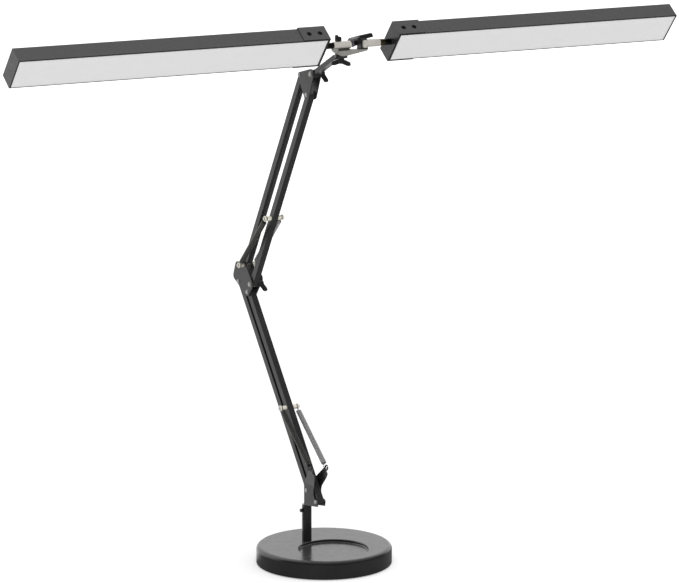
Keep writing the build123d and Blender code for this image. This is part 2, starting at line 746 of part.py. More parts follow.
with BuildPart() as head_hub:
    with BuildSketch(Plane.XY.offset(hub_foot_z)):
        with Locations((arm_x, swivel_y)):
            Circle(boss_radius)
        with Locations((fold_x, swivel_y)):
            Circle(yoke_tab_radius)
        make_hull()
    extrude(amount=hub_top_z - hub_foot_z)
    with BuildSketch(head_side):
        Polygon(
            (arm_x + boss_radius / 2, hub_foot_z),
            (hub_tip_x, hub_top_z - hub_tip),
            (hub_tip_x + cut_over, hub_top_z - hub_tip),
            (hub_tip_x + cut_over, hub_foot_z - cut_over),
            (arm_x + boss_radius / 2, hub_foot_z - cut_over),
            align=None,
        )
        Polygon(
            (arm_x - boss_radius / 2, hub_foot_z),
            (arm_x - boss_radius - cut_over, hub_heel_z),
            (arm_x - boss_radius - cut_over, hub_foot_z - cut_over),
            (arm_x - boss_radius / 2, hub_foot_z - cut_over),
            align=None,
        )
    extrude(amount=2 * boss_radius, both=True, mode=Mode.SUBTRACT)
    with BuildSketch(head_side):
        Polygon(
            (left_sleeve_ends[0], neck_top_z),
            (left_sleeve_ends[0], hub_top_z),
            (arm_x - boss_radius, hub_heel_z),
            (arm_x - boss_radius / 2, hub_heel_z),
            (neck_end_x, hub_top_z),
            (neck_end_x, neck_top_z),
            align=None,
        )
    extrude(amount=neck_width / 2, both=True)
    with BuildSketch(Plane(origin=(left_sleeve_ends[0], swivel_y, head_z), z_dir=(1, 0, 0))):
        Circle(sleeve_radius + running_gap)
    extrude(amount=left_sleeve_ends[1] - left_sleeve_ends[0], mode=Mode.SUBTRACT)
    with BuildSketch(Plane.XY.offset(hub_foot_z)):
        with Locations((arm_x, swivel_y)):
            Circle(bolt_radius + running_gap)
    extrude(amount=hub_top_z - hub_foot_z, mode=Mode.SUBTRACT)
    with BuildSketch(Plane.XY.offset(bolt_head_z - bolt_head)):
        with Locations((arm_x, swivel_y)):
            Circle(bolt_head_radius + running_gap)
    extrude(amount=bolt_head + face_gap, mode=Mode.SUBTRACT)
    with BuildSketch(Plane.XY.offset(hub_foot_z)):
        with Locations((fold_x, swivel_y)):
            Circle(pin_radius + running_gap)
    extrude(amount=hub_top_z - hub_foot_z, mode=Mode.SUBTRACT)
keep(head_hub, "head_hub")

rib_start = neck_end_x + face_gap
rib_end = left_sleeve_ends[1] - edge_break
sleeve_mouth_plane = Plane(origin=(left_sleeve_ends[0], swivel_y, head_z), z_dir=(1, 0, 0))
with BuildPart() as left_sleeve:
    with BuildSketch(sleeve_mouth_plane):
        Circle(sleeve_radius)
    extrude(amount=left_sleeve_ends[1] - left_sleeve_ends[0])
    chamfer(left_sleeve.edges().filter_by(GeomType.CIRCLE), edge_break)
    with BuildSketch(Plane.XY.offset(hub_top_z)):
        with Locations((rib_start, swivel_y)):
            Rectangle(rib_end - rib_start, neck_width / 2, align=(Align.MIN, Align.MIN))
    extrude(amount=sleeve_radius)
    with BuildSketch(sleeve_mouth_plane):
        Circle(spindle_radius + running_gap)
    extrude(amount=spindle_grip + spindle_end_gap, mode=Mode.SUBTRACT)
    with BuildSketch(Plane.XY.offset(head_z)):
        with Locations((sleeve_screw_x, swivel_y)):
            Circle(pin_radius + running_gap)
    extrude(amount=2 * sleeve_radius, mode=Mode.SUBTRACT)
keep(left_sleeve, "left_sleeve")

sleeve_top = head_z + sleeve_radius
with BuildPart() as sleeve_screw:
    with BuildSketch(Plane.XY.offset(head_z + spindle_radius + face_gap)):
        with Locations((sleeve_screw_x, swivel_y)):
            Circle(pin_radius)
    extrude(amount=sleeve_radius - spindle_radius + pin_radius)
    wing_seat = Plane(
        origin=(sleeve_screw_x, swivel_y, sleeve_top + face_gap), x_dir=(1, 0, 0), z_dir=(0, -1, 0)
    )
    with BuildSketch(wing_seat):
        Polygon(*screw_wing, align=None)
    extrude(amount=screw_wing_thickness / 2, both=True)
keep(sleeve_screw, "sleeve_screw")

with BuildPart() as fold_yoke:
    with BuildSketch(head_side):
        with BuildLine():
            Polyline(
                (fold_x + yoke_tab_radius, tab_z),
                (yoke_back_x + yoke_sheet, tab_z),
                (yoke_back_x + yoke_sheet, 2 * head_z - tab_z),
                (fold_x + yoke_top_reach, 2 * head_z - tab_z),
                (fold_x + yoke_top_reach, 2 * head_z - tab_z + yoke_sheet),
                (yoke_back_x, 2 * head_z - tab_z + yoke_sheet),
                (yoke_back_x, tab_z - yoke_sheet),
                (fold_x + yoke_tab_radius, tab_z - yoke_sheet),
                close=True,
            )
        make_face()
    extrude(amount=yoke_tab_radius, both=True)
    fillet(fold_yoke.edges().filter_by(Axis.Z).sort_by(Axis.X)[-4:], yoke_tab_round)
    with BuildSketch(Plane.XY.offset(tab_z - yoke_sheet)):
        with Locations((fold_x, swivel_y)):
            Circle(pin_radius + running_gap)
    extrude(amount=4 * sleeve_radius, mode=Mode.SUBTRACT)
keep(fold_yoke, "fold_yoke")

with BuildPart() as fold_pin:
    with BuildSketch(Plane.XY.offset(hub_top_z - hub_tip)):
        with Locations((fold_x, swivel_y)):
            Circle(pin_radius)
    extrude(amount=2 * head_z - tab_z + yoke_sheet - hub_top_z + hub_tip)
    with BuildSketch(Plane.XY.offset(2 * head_z - tab_z + yoke_sheet)):
        with Locations((fold_x, swivel_y)):
            Circle(fold_head_radius)
    extrude(amount=fold_head, taper=head_taper)
keep(fold_pin, "fold_pin")

with BuildPart() as right_sleeve:
    with BuildSketch(Plane(origin=(fold_x, swivel_y, head_z), z_dir=(1, 0, 0))):
        Circle(sleeve_radius)
    extrude(amount=right_sleeve_end - fold_x)
    chamfer(right_sleeve.edges().filter_by(GeomType.CIRCLE).sort_by(Axis.X)[-1], edge_break)
    with BuildSketch(Plane.XY.offset(head_z - sleeve_radius)):
        with Locations((fold_x, swivel_y)):
            Circle(sleeve_radius)
    extrude(amount=2 * sleeve_radius)
    with BuildSketch(Plane(origin=(right_sleeve_end, swivel_y, head_z), z_dir=(1, 0, 0))):
        Circle(spindle_radius + running_gap)
    extrude(amount=-spindle_grip - spindle_end_gap, mode=Mode.SUBTRACT)
    with BuildSketch(Plane.XY.offset(head_z - sleeve_radius)):
        with Locations((fold_x, swivel_y)):
            Circle(pin_radius + running_gap)
    extrude(amount=2 * sleeve_radius, mode=Mode.SUBTRACT)
keep(right_sleeve, "right_sleeve")

clamp_z = head_z + clamp_rise
with BuildPart() as clamp_block:
    with BuildSketch(head_side):
        Polygon(
            (left_sleeve_ends[1] + face_gap, head_z + block_sides[0][0]),
            (left_sleeve_ends[1] + face_gap, head_z + block_sides[0][1]),
            (yoke_back_x - running_gap, head_z + block_sides[1][1]),
            (yoke_back_x - running_gap, head_z + block_sides[1][0]),
            align=None,
        )
    extrude(amount=block_half_width, both=True)
    fillet(clamp_block.edges().filter_by(Axis.Y), block_round)
    with BuildSketch(Plane(origin=(clamp_x, swivel_y, clamp_z), x_dir=(1, 0, 0), z_dir=(0, -1, 0))):
        Circle(pin_radius + running_gap)
    extrude(amount=2 * block_half_width, both=True, mode=Mode.SUBTRACT)
keep(clamp_block, "clamp_block")

lever_offset = yoke_tab_radius + 2 * face_gap
lever_seat = Plane(origin=(clamp_x, swivel_y + lever_offset, clamp_z), x_dir=(1, 0, 0), z_dir=(0, -1, 0))
with BuildPart() as clamp_pin:
    with BuildSketch(Plane(origin=(clamp_x, swivel_y - block_half_width, clamp_z), z_dir=(0, 1, 0))):
        Circle(pin_radius)
    extrude(amount=block_half_width + lever_offset + lever_thickness + edge_break)
    with BuildSketch(Plane(origin=(clamp_x, swivel_y - block_half_width, clamp_z), z_dir=(0, -1, 0))):
        Circle(rivet_head_radius)
    extrude(amount=rivet_head, taper=head_taper)
keep(clamp_pin, "clamp_pin")

with BuildPart() as clamp_lever:
    with BuildSketch(lever_seat):
        Circle(lever_boss_radius)
        Polygon(*lever_outline, align=None)
        Circle(pin_radius + running_gap, mode=Mode.SUBTRACT)
    extrude(amount=-lever_thickness)
    fillet(clamp_lever.edges().filter_by(Axis.Y).sort_by(Axis.X)[-2:], lever_round)
keep(clamp_lever, "clamp_lever")


# ================= light bars =================
face_up = Vector(0, -sin(radians(light_tip)), cos(radians(light_tip)))
cavity_width = light_width - 2 * housing_wall
housing_start = saddle_wall + running_gap
housing_end = light_length - end_cap - running_gap


def light_plane(inner_end, side, distance):
    """Section of a light bar: local x runs up its face, local y towards the light."""
    return Plane(origin=(inner_end + side * distance, swivel_y, head_z), x_dir=face_up, z_dir=(1, 0, 0))


def light_bar(hand, inner_end, side):
    """One light bar from its inner end outwards; side is -1 or +1 along X."""
    start = light_plane(inner_end, side, housing_start)
    run = side * (housing_end - housing_start)
    floor_y = housing_wall - light_depth / 2
    glass_y = light_depth / 2 - diffuser_recess - diffuser_thickness
    screw_seats = [
        Plane(
            origin=light_plane(inner_end, side, distance).origin
            + face_up * (light_width / 2 + saddle_wall),
            z_dir=face_up,
        )
        for distance in saddle_screws
    ]

    with BuildPart() as housing:
        with BuildSketch(start):
            RectangleRounded(light_width, light_depth, housing_round)
            with Locations((0, housing_wall)):
                Rectangle(cavity_width, light_depth, mode=Mode.SUBTRACT)
            with Locations(
                *[(end * (cavity_width - ledge_depth) / 2, glass_y - ledge_depth / 2) for end in (-1, 1)]
            ):
                Rectangle(ledge_depth, ledge_depth)
        extrude(amount=run)
        with BuildSketch(start):
            RectangleRounded(light_width, light_depth, housing_round)
            Circle(spindle_radius + running_gap, mode=Mode.SUBTRACT)
        extrude(amount=side * inner_web)
        for seat in screw_seats:
            with BuildSketch(seat):
                Circle(screw_radius + running_gap)
            extrude(amount=-screw_reach - saddle_wall, mode=Mode.SUBTRACT)
    keep(housing, f"{hand}_light_housing")

    with BuildPart() as diffuser:
        with BuildSketch(start.offset(side * (inner_web + running_gap))):
            with Locations((0, glass_y + diffuser_thickness / 2 + running_gap)):
                Rectangle(cavity_width - 2 * running_gap, diffuser_thickness)
        extrude(amount=run - side * (inner_web + running_gap))
    keep(diffuser, f"{hand}_diffuser")

    flange_start = housing_start + inner_web + running_gap
    board_gap = flange_start + spindle_flange + 2 * spindle_flange_radius
    board_start = light_plane(inner_end, side, board_gap)
    board_run = side * (light_length - board_end_gap - board_gap)
    led_count = int(abs(board_run) / led_pitch)
    with BuildPart() as led_board:
        with BuildSketch(board_start):
            with Locations((0, floor_y + board_thickness / 2 + running_gap)):
                Rectangle(board_width, board_thickness)
        extrude(amount=board_run)
        for row in range(led_count):
            led_x = side * led_pitch * (row + 0.5)
            with BuildSketch(board_start.offset(led_x)):
                with Locations((0, floor_y + board_thickness + led_height / 2)):
                    Rectangle(led_size, led_height)
            extrude(amount=led_size / 2, both=True)
    keep(led_board, f"{hand}_led_board")

    lip_width = cavity_width - 2 * (ledge_depth + cap_lip_gap)
    lip_height = glass_y - floor_y - 2 * cap_lip_gap
    with BuildPart() as cap:
        with BuildSketch(light_plane(inner_end, side, light_length - end_cap)):
            RectangleRounded(light_width, light_depth, housing_round)
        extrude(amount=side * end_cap)
        with BuildSketch(light_plane(inner_end, side, light_length - end_cap)):
            with Locations((0, (floor_y + glass_y) / 2 + running_gap)):
                Rectangle(lip_width, lip_height)
                Rectangle(lip_width - 2 * cap_lip, lip_height - 2 * cap_lip, mode=Mode.SUBTRACT)
        extrude(amount=-side * 2 * end_cap)
    keep(cap, f"{hand}_end_cap")

    with BuildPart() as saddle:
        with BuildSketch(light_plane(inner_end, side, 0)):
            with Locations((0, -saddle_wall / 2)):
                RectangleRounded(light_width + 2 * saddle_wall, light_depth + saddle_wall, housing_round)
        extrude(amount=side * saddle_length)
        with BuildSketch(light_plane(inner_end, side, saddle_wall)):
            with Locations((0, light_depth / 2)):
                Rectangle(light_width + 2 * running_gap, 2 * light_depth + 2 * running_gap)
        extrude(amount=side * saddle_length, mode=Mode.SUBTRACT)
        with BuildSketch(light_plane(inner_end, side, 0)):
            Circle(spindle_radius + running_gap)
        extrude(amount=side * saddle_wall, mode=Mode.SUBTRACT)
        for seat in screw_seats:
            with BuildSketch(seat):
                Circle(screw_head_radius + face_gap)
            extrude(amount=-saddle_wall, mode=Mode.SUBTRACT)
    keep(saddle, f"{hand}_saddle")

    with BuildPart() as screws:
        for seat in screw_seats:
            with BuildSketch(seat.offset(-saddle_wall)):
                Circle(screw_head_radius)
            extrude(amount=saddle_wall)
            with BuildSketch(seat.offset(-saddle_wall)):
                Circle(screw_radius)
            extrude(amount=-screw_reach)
            with BuildSketch(seat):
                RegularPolygon(socket_radius, 6)
            extrude(amount=-socket_depth, mode=Mode.SUBTRACT)
    keep(screws, f"{hand}_saddle_screws")

    sleeve_mouth = left_sleeve_ends[0] if side < 0 else right_sleeve_end
    shoulder_end = left_sleeve_ends[0] if side < 0 else right_sleeve_end + ring_length + face_gap
    with BuildPart() as spindle:
        with BuildSketch(light_plane(inner_end, side, flange_start)):
            Circle(spindle_flange_radius)
        extrude(amount=side * spindle_flange)
        with BuildSketch(light_plane(inner_end, side, flange_start)):
            Circle(spindle_radius)
        extrude(amount=sleeve_mouth - inner_end - side * (spindle_grip + flange_start))
        with BuildSketch(light_plane(inner_end, side, -running_gap)):
            Circle(shoulder_radius)
        extrude(amount=shoulder_end - inner_end + side * (face_gap + running_gap))
    keep(spindle, f"{hand}_spindle")


light_bar("left", left_bar_end, -1)
light_bar("right", right_bar_end, 1)

with BuildPart() as right_collar:
    with BuildSketch(Plane(origin=(right_sleeve_end + face_gap, swivel_y, head_z), z_dir=(1, 0, 0))):
        Circle(ring_radius)
        Circle(spindle_radius + running_gap, mode=Mode.SUBTRACT)
    extrude(amount=ring_length)
keep(right_collar, "right_collar")
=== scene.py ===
import json
import math

import bpy
from mathutils import Matrix, Vector


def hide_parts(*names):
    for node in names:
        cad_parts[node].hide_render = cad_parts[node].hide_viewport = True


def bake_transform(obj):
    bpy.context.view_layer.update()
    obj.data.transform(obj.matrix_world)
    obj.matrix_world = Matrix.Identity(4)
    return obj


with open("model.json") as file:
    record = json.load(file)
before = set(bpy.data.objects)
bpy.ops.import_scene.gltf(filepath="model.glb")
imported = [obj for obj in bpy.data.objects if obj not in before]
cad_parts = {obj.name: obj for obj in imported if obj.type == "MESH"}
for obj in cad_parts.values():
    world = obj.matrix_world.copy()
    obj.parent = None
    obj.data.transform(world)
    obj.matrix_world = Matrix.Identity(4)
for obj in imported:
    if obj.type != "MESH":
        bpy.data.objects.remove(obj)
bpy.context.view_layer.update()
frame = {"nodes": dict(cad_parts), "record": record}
scene = bpy.context.scene

# ---- places taken from the CAD's driving dimensions, in metres ----
ARM_X = -0.012                 # the arm's plane
SPRING_OFFSET = 0.0126         # from the arm's plane to a spring's middle
SPRING_RADIUS = 0.0034         # to the middle of the wire
WIRE = 0.0006                  # the wire's own radius
HOOK_GAP = 0.008               # from a hook's middle to the first coil
LOOP = 0.0034                  # radius of an end loop
HORN_HOOK = Vector((0, -0.0056, 0.1448))
LOWER_PIN = Vector((0, 0.0835343, 0.2194734))
ELBOW_PIN = Vector((0, 0.2108747, 0.4142170))
UPPER_PIN = Vector((0, 0.1286190, 0.4973157))
CLAMP_YOKE_SHADE_X = 0.0118           # where the clamp block turns painted black, for the dark yoke's wall and the shade between the parts

# ---- how the spring wire is drawn ----
SIDEWAYS = Vector((1, 0, 0))
WIRE_SIDES = 8
COIL_STEPS = 16                # points in one turn
COIL_PITCH = 1.1               # in wire diameters
COIL_FADE = 0.6                # turns over which a coil grows out of its stem
LOOP_STEPS = 28
LOOP_SWEEP = 250.0             # degrees of an end loop
STEM_STEPS = 4
STEM_END = 0.0012              # from a stem's end to the first coil

# ---- where and how strongly the materials change ----
NOISE_ROUGHNESS = 0.55
EDGE_BEND = (0.995, 0.9)       # cosines between an edge's rounded and its true normal
CREVICE_OPENNESS = (0.75, 0.25)
UPWARD = (0.45, 0.75)          # height of the normal from which a face counts as looking up
PAINT_EDGE = 0.0006            # width of the rubbed paint along an edge
PLASTIC_EDGE = 0.0005          # the same on moulded pieces
YOKE_SHADE_EDGE = 0.0005              # over which the clamp block turns painted black
CREVICE_SHADE_REACH = 0.006            # narrow places up to this deep are darkened: painted shade
# the colour of the painted shade in those narrow places
CREVICE_SHADE = (0.01, 0.009, 0.008)

# ---- studio ----
BEHIND = (0.1, 0.995, 0.0)     # level, towards the middle of the white sheet behind the lamp
SHEET_EDGE = (0.1, 0.5)        # cosines between which the sheet fades in
FLOOR_EDGE = (0.45, 0.75)      # the same for the white part of the floor
FILL = 0.60                    # light from the room on open faces
ROOM = 0.10                    # the room in front, as glossy faces mirror it
FLOOR = 0.25                   # the floor in front, as glossy faces mirror it
FLOOR_REACH = 8.0              # half the floor's side
LIFT = (0.38, 0.85)            # the floor's own light, near the lamp and far from it
LIFT_ENDS = (0.4, 5.0)         # distances at which those two hold
EYE = Vector((-2.476, -4.334, 1.382))
PITCH = math.radians(11.05)    # down from level
TURN = math.radians(30.0)      # from straight ahead (+y) towards +x
SENSOR = 36.0                  # width, in millimetres
FOCAL_PIXELS = 3500.0          # focal length in the photo's pixels
PHOTO_WIDTH = 679.0            # in pixels


# ================= nodes =================
MIX_COLOURS = slice(6, 8)      # the Mix node's two colour inputs
MIX_RESULT = 2                 # its colour output


def add_node(tree, kind, **settings):
    """A new node; a setting is the value of an input, or else a property of the node."""
    node = tree.nodes.new(kind)
    for key, value in settings.items():
        if key in node.inputs:
            node.inputs[key].default_value = value
        else:
            setattr(node, key, value)
    return node


def number(tree, operation, first, second):
    """One step of arithmetic on sockets or plain numbers."""
    node = add_node(tree, "ShaderNodeMath", operation=operation)
    for value, socket in zip((first, second), node.inputs):
        if isinstance(value, float):
            socket.default_value = value
        else:
            tree.links.new(value, socket)
    return node.outputs[0]


def spread(tree, value, low, high, to_low=0.0, to_high=1.0):
    """A value between low and high, moved to lie between to_low and to_high and held there."""
    node = add_node(tree, "ShaderNodeMapRange",
                    **{"From Min": low, "From Max": high, "To Min": to_low, "To Max": to_high})
    tree.links.new(value, node.inputs["Value"])
    return node.outputs["Result"]


def length(tree, direction):
    """How long a direction is, or how far a place is from the origin."""
    node = add_node(tree, "ShaderNodeVectorMath", operation="LENGTH")
    tree.links.new(direction, node.inputs[0])
    return node.outputs["Value"]


def scaled(colour, factor, lift=0.0):
    return tuple(part * factor + lift for part in colour)


def grey(level):
    return (level, level, level)


class Shader:
    """Shorthand for building one node material."""

    def __init__(self, name):
        self.material = bpy.data.materials.new(name)
        self.material.use_nodes = True
        self.tree = self.material.node_tree
        self.bsdf = self.tree.nodes["Principled BSDF"]
        places = self.add("ShaderNodeTexCoord").outputs
        self.coords = places["Object"]
        self.normal = places["Normal"]

    def add(self, kind, **settings):
        return add_node(self.tree, kind, **settings)

    def link(self, source, target):
        self.tree.links.new(source, target)

    def noise(self, scale, detail):
        """Soft cloudy noise from 0 to 1, with about `scale` clouds to a metre."""
        node = self.add("ShaderNodeTexNoise", Scale=scale, Detail=detail, Roughness=NOISE_ROUGHNESS)
        self.link(self.coords, node.inputs["Vector"])
        return node.outputs["Fac"]

    def cells(self, scale):
        """Distance to the middle of the nearest cell, of about `scale` cells to a metre."""
        node = self.add("ShaderNodeTexVoronoi", Scale=scale)
        self.link(self.coords, node.inputs["Vector"])
        return node.outputs["Distance"]

    def axis(self, direction, letter):
        """One coordinate of a direction or place."""
        node = self.add("ShaderNodeSeparateXYZ")
        self.link(direction, node.inputs[0])
        return node.outputs[letter]

    def spread(self, value, *ends):
        return spread(self.tree, value, *ends)

    def times(self, first, second):
        return number(self.tree, "MULTIPLY", first, second)

    def blend(self, factor, first, second):
        """From the first colour at factor 0 to the second at 1."""
        node = self.add("ShaderNodeMix", data_type="RGBA")
        self.link(factor, node.inputs["Factor"])
        for colour, socket in zip((first, second), node.inputs[MIX_COLOURS]):
            if isinstance(colour, tuple):
                socket.default_value = (*colour, 1)
            else:
                self.link(colour, socket)
        return node.outputs[MIX_RESULT]

    def edges(self, radius):
        """1 on sharp outer and inner edges, 0 on open faces."""
        bevel = self.add("ShaderNodeBevel", samples=6, Radius=radius)
        geometry = self.add("ShaderNodeNewGeometry")
        dot = self.add("ShaderNodeVectorMath", operation="DOT_PRODUCT")
        self.link(bevel.outputs["Normal"], dot.inputs[0])
        self.link(geometry.outputs["Normal"], dot.inputs[1])
        return self.spread(dot.outputs["Value"], *EDGE_BEND)

    def crevices(self, reach, most):
        """0 on open faces, rising to `most` in narrow gaps."""
        occlusion = self.add("ShaderNodeAmbientOcclusion", samples=8, Distance=reach)
        return self.spread(occlusion.outputs["AO"], *CREVICE_OPENNESS, 0.0, most)

    def upward(self):
        """1 on faces that look up at rest, 0 on the others."""
        return self.spread(self.axis(self.normal, "Z"), *UPWARD)

    def bump(self, *layers):
        """Each layer is (height, strength, distance in metres)."""
        last = None
        for height, strength, distance in layers:
            node = self.add("ShaderNodeBump", Strength=strength, Distance=distance)
            self.link(height, node.inputs["Height"])
            if last is not None:
                self.link(last, node.inputs["Normal"])
            last = node.outputs["Normal"]
        self.link(last, self.bsdf.inputs["Normal"])

    def colour(self, tint):
        self.link(tint, self.bsdf.inputs["Base Color"])

    def roughen(self, value, low, high, smooth, matt):
        """Roughness from `smooth` where the value is low to `matt` where it is high."""
        self.link(self.spread(value, low, high, smooth, matt), self.bsdf.inputs["Roughness"])

    def set(self, **values):
        """Plain values of the surface's inputs, with _ for a space in their names."""
        for key, value in values.items():
            self.bsdf.inputs[key.replace("_", " ")].default_value = value


# ================= materials =================
def painted(name, colour, edge_colour, roughness, grain, grain_depth, wear, gloss, recess_light_and_shade=None, painted_top_light=None):
    """Powder coat or satin paint over metal: fine orange peel, patchy gloss and rubbed edges.

    The paint deep inside a recess can take its own (reach, colour, gloss): painted light where that colour is
    lighter than the paint, painted shade where it is darker. The faces that look up can take a lighter colour
    of their own: painted light from above.
    """
    s = Shader(name)
    s.set(Specular_IOR_Level=gloss)
    patches = s.noise(38.0, 5.0)
    tint = s.blend(s.spread(patches, 0.35, 0.7), colour, scaled(colour, 1.22, 0.002))
    # Faces that look up blend towards a lighter colour: painted light from above.
    if painted_top_light:
        tint = s.blend(s.upward(), tint, painted_top_light)
    # Recesses blend towards their own colour: painted light where it is lighter than the paint, painted shade
    # where it is darker.
    if recess_light_and_shade:
        reach, inner_colour, inner_gloss = recess_light_and_shade
        inside = s.crevices(reach, 1.0)
        tint = s.blend(inside, tint, inner_colour)
        s.link(s.spread(inside, 0.0, 1.0, gloss, inner_gloss), s.bsdf.inputs["Specular IOR Level"])
    scuffs = s.spread(s.noise(420.0, 3.0), 0.42, 0.62, 0.0, wear)
    s.colour(s.blend(s.times(s.edges(PAINT_EDGE), scuffs), tint, edge_colour))
    s.roughen(s.noise(90.0, 4.0), 0.3, 0.75, roughness - 0.05, roughness + 0.07)
    orange_peel, waves = s.noise(grain, 2.0), s.noise(160.0, 2.0)
    s.bump((orange_peel, 0.32, grain_depth), (waves, 0.12, 2 * grain_depth))
    return s.material


def bare_metal(name, colour, roughness, tarnish=(0.2, 0.17, 0.13), metallic=1.0, crevice_shade=0.0):
    """Bare or plated metal with fine marks and light tarnish; its crevices can be darkened with painted shade.
    """
    s = Shader(name)
    s.set(Metallic=metallic)
    marks = s.noise(900.0, 3.0)
    cloud = s.noise(140.0, 4.0)
    tint = s.blend(s.spread(marks, 0.3, 0.75), scaled(colour, 0.86), colour)
    tint = s.blend(s.spread(cloud, 0.6, 0.85, 0.0, 0.35), tint, tarnish)
    # Crevices darken towards a near black: painted shade.
    if crevice_shade:
        tint = s.blend(s.crevices(CREVICE_SHADE_REACH, crevice_shade), tint, CREVICE_SHADE)
    s.colour(tint)
    s.roughen(marks, 0.25, 0.8, roughness - 0.06, roughness + 0.1)
    s.bump((marks, 0.2, 0.00002), (cloud, 0.08, 0.00004))
    return s.material


def moulded(name, colour, roughness, worn=grey(0.12), jaw=None):
    """Injection-moulded plastic with spark-eroded grain; past a given x it is painted black, for the dark
    yoke's wall and the painted shade between the parts.
    """
    s = Shader(name)
    grain = s.cells(1500.0)
    cloud = s.noise(60.0, 4.0)
    tint = s.blend(s.spread(cloud, 0.35, 0.7), colour, scaled(colour, 1.15, 0.003))
    # Past the given x the block is painted black: the dark yoke's wall and the painted shade between the parts.
    if jaw is not None:
        tint = s.blend(s.spread(s.axis(s.coords, "X"), jaw, jaw + YOKE_SHADE_EDGE), tint, grey(0.01))
    scuffs = s.spread(s.noise(300.0, 3.0), 0.4, 0.65, 0.0, 0.5)
    s.colour(s.blend(s.times(s.edges(PLASTIC_EDGE), scuffs), tint, worn))
    s.roughen(cloud, 0.3, 0.75, roughness - 0.05, roughness + 0.08)
    sink = s.noise(200.0, 2.0)
    s.bump((grain, 0.25, 0.00005), (sink, 0.08, 0.00008))
    return s.material


def frosted(name, colour):
    """Light diffuser: opal sheet with a fine frosted face."""
    s = Shader(name)
    prisms = s.cells(520.0)
    dots = s.spread(prisms, 0.1, 0.75)
    fine = s.noise(1400.0, 3.0)
    tint = s.blend(s.spread(fine, 0.3, 0.72), scaled(colour, 0.93), colour)
    s.colour(s.blend(s.times(dots, 0.16), tint, scaled(colour, 0.8)))
    s.roughen(fine, 0.3, 0.75, 0.46, 0.62)
    s.bump((prisms, 0.28, 0.00006), (fine, 0.15, 0.00002))
    s.set(Subsurface_Weight=0.08, Subsurface_Radius=grey(0.002), Subsurface_Scale=0.4)
    return s.material


def rubbery(name, colour):
    """Matt rubber with a fine speckle."""
    s = Shader(name)
    speckle = s.noise(900.0, 4.0)
    s.colour(s.blend(s.spread(speckle, 0.4, 0.7), colour, scaled(colour, 1.5, 0.004)))
    s.roughen(speckle, 0.3, 0.7, 0.78, 0.92)
    s.bump((speckle, 0.4, 0.00008))
    return s.material


ARM_PAINT = dict(colour=grey(0.023), edge_colour=grey(0.11), roughness=0.28,
                 grain=2600.0, grain_depth=0.00002, wear=0.45, gloss=0.32)
looks = {
    # The base's top is painted lighter: painted light from above.
    "base_black": painted("base_black", (0.009, 0.009, 0.010), edge_colour=grey(0.07), roughness=0.20,
                          grain=1900.0, grain_depth=0.000006, wear=0.15, gloss=0.8, painted_top_light=(0.05, 0.05, 0.051)),
    "arm_black": painted("arm_black", **ARM_PAINT),
    # Inside the channel the paint turns grey: painted light.
    "channel_painted_light": painted("channel_painted_light", **ARM_PAINT, recess_light_and_shade=(0.012, grey(0.17), 0.32)),
    # Inside the bracket the paint turns near black: painted shade.
    "bracket_painted_shade": painted("bracket_painted_shade", **ARM_PAINT, recess_light_and_shade=(0.045, grey(0.004), 0.05)),
    # The light bars' tops are painted lighter: painted light from above.
    "light_black": painted("light_black", (0.018, 0.018, 0.019), edge_colour=grey(0.13), roughness=0.28,
                           grain=3400.0, grain_depth=0.00002, wear=0.3, gloss=0.36, painted_top_light=(0.086, 0.086, 0.087)),
    "rubber_pad": rubbery("rubber_pad", grey(0.018)),
    "zinc": bare_metal("zinc", (0.62, 0.61, 0.58), roughness=0.28, metallic=0.7),
    "rivet_steel": bare_metal("rivet_steel", (0.42, 0.42, 0.41), roughness=0.38, metallic=0.5),
    "spring_steel": bare_metal("spring_steel", grey(0.78), roughness=0.24,
                               tarnish=(0.4, 0.39, 0.37), metallic=0.8),
    # A darker copy of the spring steel for the left springs: painted shade.
    "spring_painted_shade": bare_metal("spring_painted_shade", (0.12, 0.12, 0.115), roughness=0.24,
                               tarnish=(0.06, 0.06, 0.05), metallic=0.7),
    # Both hub metals darken in their crevices: painted shade.
    "hub_silver": bare_metal("hub_silver", (0.74, 0.71, 0.65), roughness=0.36,
                             tarnish=(0.5, 0.46, 0.4), metallic=0.3, crevice_shade=1.0),
    "hub_casting": bare_metal("hub_casting", (0.52, 0.51, 0.485), roughness=0.36, metallic=0.55, crevice_shade=1.0),
    "bronze": bare_metal("bronze", (0.17, 0.13, 0.07), roughness=0.32, tarnish=(0.05, 0.04, 0.02)),
    "screw_black": bare_metal("screw_black", grey(0.045), roughness=0.32, tarnish=grey(0.02)),
    # The block's right end is painted black for the yoke's wall and its shade.
    "block_grey": moulded("block_grey", (0.075, 0.068, 0.078), roughness=0.42, jaw=CLAMP_YOKE_SHADE_X),
    "nylon": moulded("nylon", (0.72, 0.69, 0.60), roughness=0.5, worn=(0.8, 0.78, 0.7)),
    "knob_black": moulded("knob_black", grey(0.012), roughness=0.40),
    "board_white": moulded("board_white", (0.70, 0.70, 0.68), roughness=0.45, worn=grey(0.8)),
    "diffuser_white": frosted("diffuser_white", grey(0.96)),
}
slots = {entry["node"]: entry["material_slot"] for entry in frame["record"]["subparts"]}
own_looks = {"head_hub": "hub_casting", "fold_yoke": "knob_black",
             "upper_rear_bar": "channel_painted_light", "lower_bracket": "bracket_painted_shade"}
for node, shown in frame["nodes"].items():
    shown.data.materials.clear()
    shown.data.materials.append(looks[own_looks.get(node, slots[node])])


